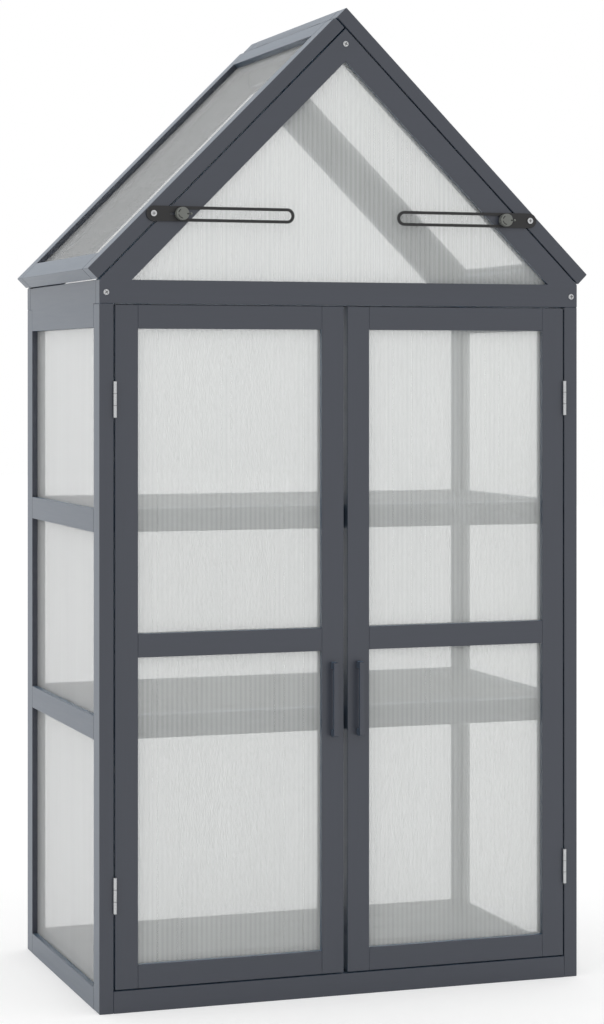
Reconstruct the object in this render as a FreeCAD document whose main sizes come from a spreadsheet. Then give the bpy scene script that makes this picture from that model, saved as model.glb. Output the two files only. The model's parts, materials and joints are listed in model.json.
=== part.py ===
import FreeCAD, Part
import os
import re

import Sketcher

# Wooden mini greenhouse: a tall cabinet of grooved timber frames and fluted sheets, with two
# doors, slatted decks and a gable roof whose two leaves open on slotted stays.
# Millimetres. +Z is up and the doors face -Y. The origin is on the ground, in the middle of
# the width and of the overall depth.

doc = FreeCAD.newDocument("greenhouse")

# Driving sizes
SIZES = {
    # cabinet and its timber
    "cabinetWidth": 706, "cabinetDepth": 430, "postHeight": 960,
    "stockThick": 20, "stockWide": 32, "footRailTall": 30,
    "lowerShelfTop": 399, "upperShelfTop": 681, "floorTop": 35,
    # fluted sheets and the grooves that hold them
    "sheetThick": 4, "sheetInset": 8, "grooveDeep": 8, "grooveSlack": 0.4, "sheetEdgeSlack": 0.5,
    # decks
    "deckThick": 10, "deckBoardWide": 78, "deckGap": 4, "deckSideSlack": 0.5,
    "cleatWide": 12, "cleatTall": 15,
    # doors
    "doorGap": 2, "meetingGap": 6, "doorMiddleTop": 512,
    # door hinges
    "hingeTall": 49, "upperHingeMiddle": 830, "lowerHingeMiddle": 160, "knuckleAcross": 5.2,
    "knuckleStandoff": 0.3, "hingePlate": 0.9, "hingePlateDeep": 16, "hingePin": 2.6,
    "pinClearance": 0.06, "knuckleGap": 0.3, "platesApart": 0.1,
    # pull handles
    "handleTall": 103, "handleWide": 6.5, "handleReach": 15, "handleBar": 5, "handleFoot": 9,
    "handleMiddle": 413, "handleCorner": 3,
    # gable roof
    "roofGap": 2, "leafThick": 20, "eavesOverhang": 0.8, "ridgeLap": 20, "ridgeChamfer": 3,
    "ridgeBeamTall": 40,
    # ridge hinges
    "ridgeAxisInset": 2, "ridgeKnuckle": 3.2, "ridgePin": 1.6, "ridgePlate": 0.8,
    "ridgePlateLength": 14, "ridgeStrapLength": 12, "ridgeHingeWide": 50,
    "ridgeHingeFromEnd": 70, "mortiseSlack": 0.1,
    # stays, their studs and thumb nuts
    "stayAboveEaves": 90.5, "pivotInLeaf": 9, "studFromPivot": 39, "stayHeel": 10, "stayReach": 202,
    "stayWide": 21, "stayBar": 4.2, "stayThick": 1.6, "stayStandoff": 1, "slitFromPivot": 23,
    "slitLength": 23, "slitWide": 3.8, "studAcross": 3, "studCollar": 17,
    "studCollarThick": 0.4, "runningGap": 0.3, "nutAcross": 18, "nutTall": 9.5,
    "nutEdge": 0.7, "nutCap": 2,
    # pivot screws of the stays
    "screwHead": 8.4, "screwHeadTall": 1.8, "screwShank": 3.6, "screwLength": 14,
    "screwCross": 1.1, "screwCrossSpan": 4.6, "screwCrossDeep": 0.9, "screwSlack": 0.05,
}
SHEET = doc.addObject("Spreadsheet::Sheet", "Sizes")
for row, (alias, value) in enumerate(SIZES.items(), start=1):
    SHEET.set(f"A{row}", alias)
    SHEET.set(f"B{row}", str(value))
    SHEET.setAlias(f"B{row}", alias)
doc.recompute()

# Places that many pieces share, as formulas of the sizes
HALF = "cabinetWidth / 2"
INNER = "cabinetWidth / 2 - stockThick"
BACK = "cabinetDepth"
BACK_INNER = "cabinetDepth - stockThick"
SIDE_FRONT = "stockWide"
SIDE_BACK = "cabinetDepth - stockWide"
EAVES = "postHeight + stockWide"
APEX = "postHeight + stockWide + cabinetWidth / 2"
SETBACK = "(cabinetDepth - handleReach) / 2"
WINDOW_APEX = f"{APEX} - stockWide * sqrt(2)"
DOOR_OUTER = f"{INNER} - doorGap"
DOOR_FOOT = "footRailTall + doorGap"
DOOR_HEAD = "postHeight - doorGap"
HINGE_OUT = f"{INNER} - doorGap / 2"
HINGE_FRONT = "-(knuckleAcross / 2 + knuckleStandoff)"
LAP_AXIS = "-(ridgeLap - ridgeAxisInset)"
LEAF_END = "cabinetWidth / sqrt(2) + eavesOverhang"
STAY_UP = f"{EAVES} + stayAboveEaves"
PIVOT_OUT = "cabinetWidth / 2 - stayAboveEaves + (roofGap + pivotInLeaf) * sqrt(2)"
SIDES = {"left": -1, "right": 1}
NODES = []


def bound(text):
    """A formula in which each named size points at its cell."""
    def cell(word):
        return f"Sizes.{word[0]}" if word[0] in SIZES else word[0]
    return re.sub(r"[A-Za-z]\w*", cell, text)


def across(side, near, far):
    """A span on the side's own half, from its near to its far edge."""
    if SIDES[side] > 0:
        return near, far
    return f"-({far})", f"-({near})"


def at(side, out):
    """A distance from the middle plane on the side's own half."""
    return out if SIDES[side] > 0 else f"-({out})"


def grown(span, by):
    return f"{span[0]} - ({by})", f"{span[1]} + ({by})"


def block(name, x, y, z):
    """A plain block between two formulas on each axis."""
    piece = doc.addObject("Part::Box", name)
    for side, axis, (low, high) in zip(("Length", "Width", "Height"), "xyz", (x, y, z)):
        piece.setExpression(side, bound(f"({high}) - ({low})"))
        piece.setExpression(f"Placement.Base.{axis}", bound(low))
    return piece


def bar(name, axis, centre, width, span):
    """A round bar along one axis: its centre on the other two, its width and its ends."""
    piece = doc.addObject("Part::Cylinder", name)
    piece.setExpression("Radius", bound(f"({width}) / 2"))
    piece.setExpression("Height", bound(f"({span[1]}) - ({span[0]})"))
    if axis == "y":
        piece.Placement.Rotation = FreeCAD.Rotation(FreeCAD.Vector(1, 0, 0), -90)
        places = (centre[0], span[0], centre[1])
    else:
        places = (centre[0], centre[1], span[0])
    for word, place in zip("xyz", places):
        piece.setExpression(f"Placement.Base.{word}", bound(place))
    return piece


def fused(name, pieces):
    piece = doc.addObject("Part::MultiFuse", name)
    piece.Shapes = pieces
    piece.Refine = True
    return piece


def together(name, pieces):
    piece = doc.addObject("Part::Compound", name)
    piece.Links = pieces
    return piece


def less(name, base, tools):
    """A piece with others cut out of it."""
    piece = doc.addObject("Part::Cut", name)
    piece.Base = base
    piece.Tool = tools[0] if len(tools) == 1 else together(f"{name}_tools", tools)
    piece.Refine = True
    return piece


def own_plane(body, role):
    return next(part for part in body.Origin.OriginFeatures if part.Role == role)


def outline(body, name, role, corners, offset="0"):
    """A closed sketch of straight lines on one of the body's own planes."""
    sketch = body.newObject("Sketcher::SketchObject", name)
    sketch.AttachmentSupport = [(own_plane(body, role), "")]
    sketch.MapMode = "FlatFace"
    sketch.setExpression("AttachmentOffset.Base.z", bound(offset))
    ends = [tuple(worth(word) for word in corner) for corner in corners]
    for this, following in zip(ends, ends[1:] + ends[:1]):
        sketch.addGeometry(Part.LineSegment(FreeCAD.Vector(*this, 0), FreeCAD.Vector(*following, 0)))
    for number in range(len(corners)):
        after = (number + 1) % len(corners)
        sketch.addConstraint(Sketcher.Constraint("Coincident", number, 2, after, 1))
    for number, corner in enumerate(corners):
        for kind, axis, word in zip(("DistanceX", "DistanceY"), (-2, -1), corner):
            if word == "0":
                sketch.addConstraint(Sketcher.Constraint("PointOnObject", number, 1, axis))
                continue
            rule = Sketcher.Constraint(kind, -1, 1, number, 1, worth(word))
            place = sketch.addConstraint(rule)
            sketch.setExpression(f"Constraints[{place}]", bound(word))
    return sketch


def worth(text):
    """The present value of a formula of the sizes."""
    words = re.sub(r"[A-Za-z]\w*", lambda word: str(number(word[0])), text)
    return float(SHEET.evalExpression(words))


def number(word):
    return f"({float(SHEET.get(word))})" if word in SIZES else word


def prism(name, role, corners, span):
    """A body padded from a straight-sided outline, between two planes square to it."""
    body = doc.addObject("PartDesign::Body", name)
    towards_front = role == "XZ_Plane"
    start = f"-({span[0]})" if towards_front else span[0]
    sketch = outline(body, f"{name}_outline", role, corners, start)
    pad = body.newObject("PartDesign::Pad", f"{name}_pad")
    pad.Profile = sketch
    pad.Reversed = towards_front
    pad.setExpression("Length", bound(f"({span[1]}) - ({span[0]})"))
    body.Tip = pad
    doc.recompute()
    return body


def rounded(body, name, width, chosen):
    """Round the edges of a body that a test picks by their middles."""
    tip = body.Tip
    edges = [f"Edge{n}" for n, edge in enumerate(tip.Shape.Edges, 1) if chosen(edge)]
    fillet = body.newObject("PartDesign::Fillet", name)
    fillet.Base = (tip, edges)
    fillet.setExpression("Radius", bound(width))
    body.Tip = fillet
    doc.recompute()


def node(name, pieces, cuts=(), leaf=None):
    """One named piece of the greenhouse, less its cuts, set in its place."""
    whole = pieces[0] if len(pieces) == 1 else together(f"{name}_pieces", pieces)
    if cuts:
        whole = less(f"{name}_cut", whole, list(cuts))
    elif len(pieces) == 1 and whole.TypeId != "PartDesign::Body":
        whole = together(f"{name}_piece", pieces)
    if leaf:
        turn = 45 * SIDES[leaf]
        whole.Placement = FreeCAD.Placement(
            FreeCAD.Vector(), FreeCAD.Rotation(FreeCAD.Vector(0, 1, 0), turn))
        whole.setExpression("Placement.Base.z", bound(APEX))
    whole.setExpression("Placement.Base.y", bound(f"-{SETBACK}"))
    whole.Label = name
    NODES.append(whole)


def glazing(name, spans, thin):
    """A fluted sheet and the groove round its opening, thin along one axis."""
    sheet = []
    groove = []
    for axis, span in enumerate(spans):
        sheet.append(span if axis == thin else grown(span, "grooveDeep - sheetEdgeSlack"))
        groove.append(grown(span, "grooveSlack / 2" if axis == thin else "grooveDeep"))
    return block(f"{name}_sheet", *sheet), block(f"{name}_groove", *groove)


# Openings of the sides and of the back: three panes each, one over another
PANE_FEET = ("footRailTall", "lowerShelfTop", "upperShelfTop")
PANE_HEADS = ("lowerShelfTop - stockWide", "upperShelfTop - stockWide")
panes = {}
for side in SIDES:
    for level, foot in enumerate(PANE_FEET):
        head = (PANE_HEADS + ("postHeight - stockWide",))[level]
        x = across(side, f"{HALF} - sheetInset - sheetThick", f"{HALF} - sheetInset")
        opening = (x, (SIDE_FRONT, SIDE_BACK), (foot, head))
        panes[side, level] = glazing(f"{side}_pane_{level}", opening, 0)
for level, foot in enumerate(PANE_FEET):
    head = (PANE_HEADS + ("postHeight",))[level]
    y = (f"{BACK} - sheetInset - sheetThick", f"{BACK} - sheetInset")
    opening = ((f"-({INNER})", INNER), y, (foot, head))
    panes["back", level] = glazing(f"back_pane_{level}", opening, 1)
grooves = {wall: [panes[wall, level][1] for level in range(3)] for wall in ("left", "right", "back")}
for wall in grooves:
    node(f"{wall}_panels", [panes[wall, level][0] for level in range(3)])

# Posts
POST_ENDS = {"front": ("0", SIDE_FRONT), "back": (SIDE_BACK, BACK)}
for end, y in POST_ENDS.items():
    for side in SIDES:
        post = block(f"{end}_{side}_upright", across(side, INNER, HALF), y, ("0", "postHeight"))
        cuts = grooves[side] + (grooves["back"] if end == "back" else [])
        node(f"{end}_{side}_post", [post], cuts)

# Rails between the posts
LEVELS = {"lower": "lowerShelfTop", "upper": "upperShelfTop"}
FOOT = ("0", "footRailTall")
node("front_sill", [block("sill", (f"-({INNER})", INNER), ("0", "stockThick"), FOOT)])
walls = {side: (across(side, INNER, HALF), (SIDE_FRONT, SIDE_BACK)) for side in SIDES}
walls["back"] = ((f"-({INNER})", INNER), (BACK_INNER, BACK))
for wall, (x, y) in walls.items():
    rails = [block(f"{wall}_{level}_rail", x, y, (f"{top} - stockWide", top))
             for level, top in LEVELS.items()]
    foot = block(f"{wall}_foot_rail", x, y, FOOT)
    if wall == "back":
        node("back_rails", [foot] + rails, grooves[wall])
    else:
        node(f"{wall}_bottom_rail", [foot], grooves[wall][:1])
        node(f"{wall}_middle_rails", rails, grooves[wall])

# Side top boards, notched over the posts
for side in SIDES:
    x = across(side, INNER, HALF)
    lower = block(f"{side}_board_low", x, (SIDE_FRONT, SIDE_BACK), ("postHeight - stockWide", EAVES))
    upper = block(f"{side}_board_high", x, ("stockThick", BACK_INNER), ("postHeight", EAVES))
    board = fused(f"{side}_board", [lower, upper])
    node(f"{side}_top_board", [board], grooves[side][2:])

# Gables: a rail on the posts, two mitred rafters and a three-cornered sheet
GABLES = {"front": ("0", "stockThick"), "back": (BACK_INNER, BACK)}
GABLE_SHEETS = {
    "front": ("sheetInset", "sheetInset + sheetThick"),
    "back": (f"{BACK} - sheetInset - sheetThick", f"{BACK} - sheetInset"),
}
for end, y in GABLES.items():
    windows = {}
    for kind, margin in (("sheet", "grooveDeep - sheetEdgeSlack"), ("groove", "grooveDeep")):
        foot = f"{EAVES} - ({margin})"
        tip = f"{WINDOW_APEX} + ({margin}) * sqrt(2)"
        reach = f"{tip} - ({foot})"
        corners = ((f"-({reach})", foot), (reach, foot), ("0", tip))
        thick = GABLE_SHEETS[end]
        if kind == "groove":
            thick = grown(thick, "grooveSlack / 2")
        windows[kind] = prism(f"{end}_gable_{kind}", "XZ_Plane", corners, thick)
    rafters = []
    for side in SIDES:
        corners = ((at(side, HALF), EAVES), ("0", APEX), ("0", WINDOW_APEX),
                   (at(side, f"{HALF} - stockWide * sqrt(2)"), EAVES))
        rafters.append(prism(f"{end}_{side}_gable_rafter", "XZ_Plane", corners, y))
    rail = block(f"{end}_rail_of_gable", (f"-({HALF})", HALF), y, ("postHeight", EAVES))
    node(f"{end}_gable_panel", [windows["sheet"]])
    node(f"{end}_gable_rafters", rafters, [windows["groove"]])
    node(f"{end}_gable_rail", [rail],
         [windows["groove"]] + (grooves["back"][2:] if end == "back" else []))

# Shelf fronts, cleats and decks of loose boards laid from the back
shelf_y = ("stockThick + doorGap", "2 * stockThick + doorGap")
fronts = [block(f"{level}_shelf_front", (f"-({INNER})", INNER), shelf_y, (f"{top} - stockWide", top))
          for level, top in LEVELS.items()]
node("shelf_front_boards", fronts)
DECKS = {
    "floor_deck": ("floorTop", "stockThick + doorGap"),
    "lower_shelf_deck": ("lowerShelfTop", "2 * stockThick + doorGap"),
    "upper_shelf_deck": ("upperShelfTop", "2 * stockThick + doorGap"),
}
cleats = []
for deck, (top, start) in DECKS.items():
    room = worth(f"{BACK_INNER} - ({start})")
    pitch = worth("deckBoardWide + deckGap")
    whole_boards = int((room + worth("deckGap")) // pitch)
    x = grown((f"-({INNER})", INNER), "-deckSideSlack")
    z = (f"{top} - deckThick", top)
    boards = []
    for count in range(whole_boards):
        rear = f"{BACK_INNER} - {count} * (deckBoardWide + deckGap)"
        boards.append(block(f"{deck}_board_{count}", x, (f"{rear} - deckBoardWide", rear), z))
    rest = f"{BACK_INNER} - {whole_boards} * (deckBoardWide + deckGap)"
    if worth(f"{rest} - ({start})") > worth("deckGap"):
        boards.append(block(f"{deck}_last_board", x, (start, rest), z))
    node(deck, boards)
    for side in SIDES:
        under = (f"{top} - deckThick - cleatTall", f"{top} - deckThick")
        cleats.append(block(f"{deck}_{side}_cleat", across(side, f"{INNER} - cleatWide", INNER),
                            ("2 * stockThick + doorGap", SIDE_BACK), under))
node("deck_cleats", cleats)


# Door hinges: three knuckles on a pin, with plates in the gap between post and door
def hinge_spans(middle):
    foot = f"{middle} - hingeTall / 2"
    cuts = [f"{foot} + {third} * hingeTall / 3" for third in range(4)]
    spans = []
    for third in range(3):
        low = f"{cuts[third]} + knuckleGap / 2" if third else cuts[third]
        high = f"{cuts[third + 1]} - knuckleGap / 2" if third < 2 else cuts[third + 1]
        spans.append((low, high))
    return spans


def hinge_half(name, side, plate, spans, thirds):
    """The plate of one hinge half with its knuckles."""
    whole = (spans[0][0], spans[2][1])
    pieces = [block(f"{name}_plate", plate, ("knuckleGap", "hingePlateDeep"), whole)]
    for third in thirds:
        pieces.append(block(f"{name}_tab_{third}", plate, (HINGE_FRONT, "knuckleGap"), spans[third]))
        pieces.append(bar(f"{name}_knuckle_{third}", "z", (at(side, HINGE_OUT), HINGE_FRONT),
                          "knuckleAcross", spans[third]))
    return pieces


HINGES = {"upper": "upperHingeMiddle", "lower": "lowerHingeMiddle"}
post_halves = []
door_halves = {side: [] for side in SIDES}
for side in SIDES:
    for level, middle in HINGES.items():
        name = f"{level}_{side}_hinge"
        spans = hinge_spans(middle)
        centre = (at(side, HINGE_OUT), HINGE_FRONT)
        post_plate = across(side, f"{HINGE_OUT} + platesApart / 2",
                            f"{HINGE_OUT} + platesApart / 2 + hingePlate")
        door_plate = across(side, f"{HINGE_OUT} - platesApart / 2 - hingePlate",
                            f"{HINGE_OUT} - platesApart / 2")
        pieces = hinge_half(f"{name}_post", side, post_plate, spans, (0, 2))
        pieces.append(bar(f"{name}_pin", "z", centre, "hingePin", (spans[0][0], spans[2][1])))
        post_halves.append(fused(f"{name}_post_half", pieces))
        half = fused(f"{name}_door_half", hinge_half(f"{name}_door", side, door_plate, spans, (1,)))
        bore = bar(f"{name}_bore", "z", centre, "hingePin + 2 * pinClearance", grown(spans[1], "1"))
        door_halves[side].append(less(f"{name}_bored", half, [bore]))
node("post_hinge_leaves", post_halves)

# Doors: two stiles, three rails, two sheets and a pull handle each
for side in SIDES:
    y = ("0", "stockThick")
    outer = DOOR_OUTER
    meeting = "meetingGap / 2"
    sheet_y = ("sheetInset", "sheetInset + sheetThick")
    rail_x = across(side, f"{meeting} + stockWide", f"{outer} - stockWide")
    tops = {"top": DOOR_HEAD, "middle": "doorMiddleTop", "bottom": f"{DOOR_FOOT} + stockWide"}
    lower = glazing(f"{side}_door_low", (rail_x, sheet_y, (tops["bottom"], "doorMiddleTop - stockWide")), 1)
    upper = glazing(f"{side}_door_high", (rail_x, sheet_y, ("doorMiddleTop", f"{DOOR_HEAD} - stockWide")), 1)
    stiles = [block(f"{side}_door_stile_meeting", across(side, meeting, f"{meeting} + stockWide"), y,
                    (DOOR_FOOT, DOOR_HEAD)),
              block(f"{side}_door_stile_hinge", across(side, f"{outer} - stockWide", outer), y,
                    (DOOR_FOOT, DOOR_HEAD))]
    node(f"{side}_door_stiles", stiles, [lower[1], upper[1]])
    for place, top in tops.items():
        rail = block(f"{side}_door_{place}", rail_x, y, (f"{top} - stockWide", top))
        cuts = {"top": [upper[1]], "middle": [lower[1], upper[1]], "bottom": [lower[1]]}[place]
        node(f"{side}_door_{place}_rail", [rail], cuts)
    node(f"{side}_door_panels", [lower[0], upper[0]])
    node(f"{side}_door_hinge_leaves", door_halves[side])
    foot = "handleMiddle - handleTall / 2"
    head = "handleMiddle + handleTall / 2"
    corners = (("0", foot), ("-handleReach", foot), ("-handleReach", head), ("0", head),
               ("0", f"{head} - handleFoot"), ("handleBar - handleReach", f"{head} - handleFoot"),
               ("handleBar - handleReach", f"{foot} + handleFoot"), ("0", f"{foot} + handleFoot"))
    stile_middle = "meetingGap / 2 + stockWide / 2"
    width = across(side, f"{stile_middle} - handleWide / 2", f"{stile_middle} + handleWide / 2")
    handle = prism(f"{side}_pull", "YZ_Plane", corners, width)
    reach = worth("handleReach")
    bar_inner = worth("handleReach - handleBar")

    def crosswise(edge, depth):
        box = edge.BoundBox
        return box.XLength > 1 and box.YLength < 0.001 and abs(box.YMin + depth) < 0.001
    rounded(handle, f"{side}_pull_corners", "handleCorner", lambda edge: crosswise(edge, reach)
            and edge.BoundBox.ZLength < 0.001)
    rounded(handle, f"{side}_pull_throat", "handleCorner / 2", lambda edge: crosswise(edge, bar_inner)
            and edge.BoundBox.ZLength < 0.001)
    node(f"{side}_door_handle", [handle])

# Ridge: a beam under the gap, and hinges of three knuckles shared by both leaves.
# The two slopes are square to each other, so the left leaf's end faces the right leaf's
# underside. Leaf coordinates run down the slope from the apex and outward from the slope.
BEVEL = "(roofGap - ridgePlate) / 2"
beam_top = f"{APEX} + {BEVEL} * sqrt(2)"
corners = (("-stockThick / 2", f"{APEX} - ridgeBeamTall"), ("stockThick / 2", f"{APEX} - ridgeBeamTall"),
           ("stockThick / 2", f"{beam_top} - stockThick / 2"), ("0", beam_top),
           ("-stockThick / 2", f"{beam_top} - stockThick / 2"))
node("ridge_beam", [prism("beam", "XZ_Plane", corners, ("stockThick", BACK_INNER))])

RIDGE_HINGES = {"front": "ridgeHingeFromEnd + ridgeHingeWide / 2",
                "rear": "cabinetDepth - ridgeHingeFromEnd - ridgeHingeWide / 2"}
KNUCKLES = ("right", "strap", "left")
axis_here = {"right": (LAP_AXIS, "roofGap / 2"), "left": ("roofGap / 2", f"-({LAP_AXIS})")}
axis_here["strap"] = axis_here["right"]
edge_gap = "ridgeKnuckle / 2 + knuckleGap"
ridge_parts = {part: [] for part in ("strap", "left", "right")}
mortises = {side: [] for side in SIDES}
for place, middle in RIDGE_HINGES.items():
    start = f"{middle} - ridgeHingeWide / 2"
    step = "ridgeHingeWide / 3"
    y_whole = (start, f"{start} + ridgeHingeWide")
    plates = {
        "strap": ((f"{LAP_AXIS} + {edge_gap}", "ridgeStrapLength"), (BEVEL, f"{BEVEL} + ridgePlate")),
        "right": ((f"{LAP_AXIS} + {edge_gap}", f"{LAP_AXIS} + ridgePlateLength"),
                  ("roofGap", "roofGap + ridgePlate")),
        "left": (("-ridgePlate", "0"),
                 (f"-({LAP_AXIS}) - ridgePlateLength", f"-({LAP_AXIS}) - ({edge_gap})")),
    }
    tabs = {
        "strap": ((LAP_AXIS, f"{LAP_AXIS} + {edge_gap}"), plates["strap"][1]),
        "right": ((LAP_AXIS, f"{LAP_AXIS} + {edge_gap}"), plates["right"][1]),
        "left": (plates["left"][0], (f"-({LAP_AXIS}) - ({edge_gap})", f"-({LAP_AXIS})")),
    }
    for part in ridge_parts:
        name = f"{place}_{part}_ridge"
        x, z = plates[part]
        pieces = [block(f"{name}_plate", x, y_whole, z)]
        for count, owner in enumerate(KNUCKLES):
            if owner != part:
                continue
            low = f"{start} + {count} * {step}" + (" + knuckleGap / 2" if count else "")
            high = f"{start} + {count + 1} * {step}" + (" - knuckleGap / 2" if count < 2 else "")
            pieces.append(block(f"{name}_tab_{count}", tabs[part][0], (low, high), tabs[part][1]))
            pieces.append(bar(f"{name}_knuckle_{count}", "y", axis_here[part], "ridgeKnuckle", (low, high)))
        if part == "strap":
            pieces.append(bar(f"{name}_pin", "y", axis_here[part], "ridgePin", y_whole))
            ridge_parts[part].append(fused(f"{name}_half", pieces))
        else:
            bore = bar(f"{name}_bore", "y", axis_here[part], "ridgePin + 2 * pinClearance",
                       grown(y_whole, "1"))
            half = fused(f"{name}_solid", pieces)
            ridge_parts[part].append(less(f"{name}_half", half, [bore]))
    room = grown(y_whole, "knuckleGap")
    deep = "ridgePlate + mortiseSlack"
    tail = "ridgePlateLength + mortiseSlack"
    mortises["right"].append(block(f"{place}_right_mortise", ("-ridgeLap - 1", f"{LAP_AXIS} + {tail}"),
                                   room, ("roofGap - 1", f"roofGap + {deep}")))
    mortises["left"].append(block(f"{place}_left_mortise", (f"-({deep})", "1"), room,
                                  (f"-({LAP_AXIS}) - ({tail})", "roofGap + leafThick + 1")))
node("ridge_hinge_straps", ridge_parts["strap"], leaf="right")

# Roof leaves: two rafters, two rails and a sheet each, drawn in leaf coordinates
LEAF_TOPS = {"left": "0", "right": "-ridgeLap"}
PIVOT_DOWN = f"({PIVOT_OUT} + cabinetWidth / 2 - stayAboveEaves) / sqrt(2)"
for side in SIDES:
    top = LEAF_TOPS[side]
    z = ("roofGap", "roofGap + leafThick")
    slope = across(side, top, LEAF_END)
    pane_x = across(side, f"{top} + stockWide", f"{LEAF_END} - stockWide")
    pane_z = ("roofGap + leafThick - sheetInset - sheetThick", "roofGap + leafThick - sheetInset")
    sheet, groove = glazing(f"{side}_roof", (pane_x, (SIDE_FRONT, SIDE_BACK), pane_z), 2)
    cuts = [groove]
    if side == "left":
        corner = "roofGap + leafThick"
        corners = (("-ridgeChamfer", f"{corner} + 1"), ("-ridgeChamfer", corner),
                   ("0", f"{corner} - ridgeChamfer"), ("1", f"{corner} - ridgeChamfer"),
                   ("1", f"{corner} + 1"))
        cuts.append(prism("left_roof_corner", "XZ_Plane", corners, grown(("0", BACK), "1")))
    pivot = (at(side, PIVOT_DOWN), "roofGap + pivotInLeaf")
    hole = bar(f"{side}_pivot_hole", "y", pivot, "screwShank + 2 * screwSlack",
               ("-1", "screwLength + screwSlack"))
    rafters = [block(f"{side}_roof_front_rafter", slope, ("0", SIDE_FRONT), z),
               block(f"{side}_roof_back_rafter", slope, (SIDE_BACK, BACK), z)]
    rails = [block(f"{side}_roof_top_rail", across(side, top, f"{top} + stockWide"),
                   (SIDE_FRONT, SIDE_BACK), z),
             block(f"{side}_roof_foot_rail", across(side, f"{LEAF_END} - stockWide", LEAF_END),
                   (SIDE_FRONT, SIDE_BACK), z)]
    node(f"{side}_roof_rafters", rafters, cuts + [hole], leaf=side)
    node(f"{side}_roof_rails", rails, cuts + mortises[side], leaf=side)
    node(f"{side}_roof_panel", [sheet], leaf=side)
    node(f"{side}_roof_hinge_leaves", ridge_parts[side], leaf=side)


# Stays: a long slotted plate that turns on a screw in the leaf and slides on a stud
def stadium(name, span, middle, width, thick):
    """A flat bar with round ends, lying in the front plane."""
    ends = (f"{span[0]} + ({width}) / 2", f"{span[1]} - ({width}) / 2")
    z = (f"{middle} - ({width}) / 2", f"{middle} + ({width}) / 2")
    pieces = [block(f"{name}_bar", ends, thick, z)]
    for word, place in zip(("start", "finish"), ends):
        pieces.append(bar(f"{name}_{word}", "y", (place, middle), width, thick))
    return fused(name, pieces)


STAY_FRONT = "-(stayStandoff + stayThick)"
NUT_BACK = f"{STAY_FRONT} - runningGap"
NUT_FRONT = f"{NUT_BACK} - nutTall"


def run(side, near, far):
    """A span along the stay, from its pivot towards the middle of the gable."""
    return across(side, f"{PIVOT_OUT} - ({far})", f"{PIVOT_OUT} - ({near})")


for side in SIDES:
    pivot = (at(side, PIVOT_OUT), STAY_UP)
    stud_at = (at(side, f"{PIVOT_OUT} - studFromPivot"), STAY_UP)
    thick = (STAY_FRONT, "-stayStandoff")
    through = grown(thick, "1")
    plate = stadium(f"{side}_stay_plate", run(side, "-stayHeel", "stayReach"), STAY_UP,
                    "stayWide", thick)
    loop = stadium(f"{side}_stay_loop", run(side, "slitFromPivot + slitLength - slitWide",
                                            "stayReach - stayBar"),
                   STAY_UP, "stayWide - 2 * stayBar", through)
    slit = stadium(f"{side}_stay_slit", run(side, "slitFromPivot", "slitFromPivot + 2 * slitLength"),
                   STAY_UP, "slitWide", through)
    eye = bar(f"{side}_stay_eye", "y", pivot, "screwShank + 2 * pinClearance", through)
    slot = fused(f"{side}_stay_slot", [loop, slit])
    node(f"{side}_stay", [plate], [slot, eye])

    head_back = f"{STAY_FRONT} - runningGap"
    head_front = f"{head_back} - screwHeadTall"
    shank = bar(f"{side}_pivot_shank", "y", pivot, "screwShank", (head_back, "screwLength"))
    head = bar(f"{side}_pivot_head", "y", pivot, "screwHead", (head_front, head_back))
    collar = bar(f"{side}_pivot_collar", "y", pivot, "screwHead", ("runningGap - stayStandoff", "0"))
    screw = fused(f"{side}_pivot_solid", [shank, head, collar])
    bit = (head_front + " - 1", f"{head_front} + screwCrossDeep")
    wide = grown((pivot[0], pivot[0]), "screwCrossSpan / 2")
    thin = grown((pivot[0], pivot[0]), "screwCross / 2")
    tall = grown((STAY_UP, STAY_UP), "screwCrossSpan / 2")
    low = grown((STAY_UP, STAY_UP), "screwCross / 2")
    cross = fused(f"{side}_pivot_cross", [block(f"{side}_cross_a", wide, bit, low),
                                          block(f"{side}_cross_b", thin, bit, tall)])
    node(f"{side}_stay_pivot_screw", [screw], [cross])

    collar_y = ("-(stayStandoff - runningGap)", "-(stayStandoff - runningGap - studCollarThick)")
    disc = bar(f"{side}_stud_collar", "y", stud_at, "studCollar", collar_y)
    rod = bar(f"{side}_stud_rod", "y", stud_at, "studAcross",
              (f"{NUT_FRONT} + nutCap + runningGap", collar_y[1]))
    node(f"{side}_stay_stud", [fused(f"{side}_stud_solid", [disc, rod])])

    disc = bar(f"{side}_nut_disc", "y", stud_at, "nutAcross", (NUT_FRONT, NUT_BACK))
    soft = doc.addObject("Part::Chamfer", f"{side}_nut_edge")
    soft.Base = disc
    doc.recompute()
    rims = [n for n, edge in enumerate(disc.Shape.Edges, 1)
            if edge.BoundBox.YLength < 0.001 and abs(edge.BoundBox.YMin - worth(NUT_FRONT)) < 0.001]
    soft.Edges = [(n, worth("nutEdge"), worth("nutEdge")) for n in rims]
    bore = bar(f"{side}_nut_bore", "y", stud_at, "studAcross + 2 * pinClearance",
               (f"{NUT_FRONT} + nutCap", f"{NUT_BACK} + 1"))
    node(f"{side}_thumb_nut", [soft], [bore])

doc.recompute()

# Nothing is written unless every object has computed and every piece is whole
failed = [thing.Name for thing in doc.Objects if {"Invalid", "Error"} & set(thing.State)]
for piece in NODES:
    if piece.Shape.isNull() or not piece.Shape.isValid() or not piece.Shape.Solids:
        failed.append(piece.Label)
if failed:
    raise RuntimeError("not built: " + ", ".join(failed))
os.makedirs("parts", exist_ok=True)
for piece in NODES:
    piece.Shape.exportStep(f"parts/{piece.Label}.step")
print(len(NODES), "nodes,", sum(len(piece.Shape.Solids) for piece in NODES), "solids")
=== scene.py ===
import json
import math

import bmesh
import bpy
from mathutils import Matrix, Vector

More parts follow.
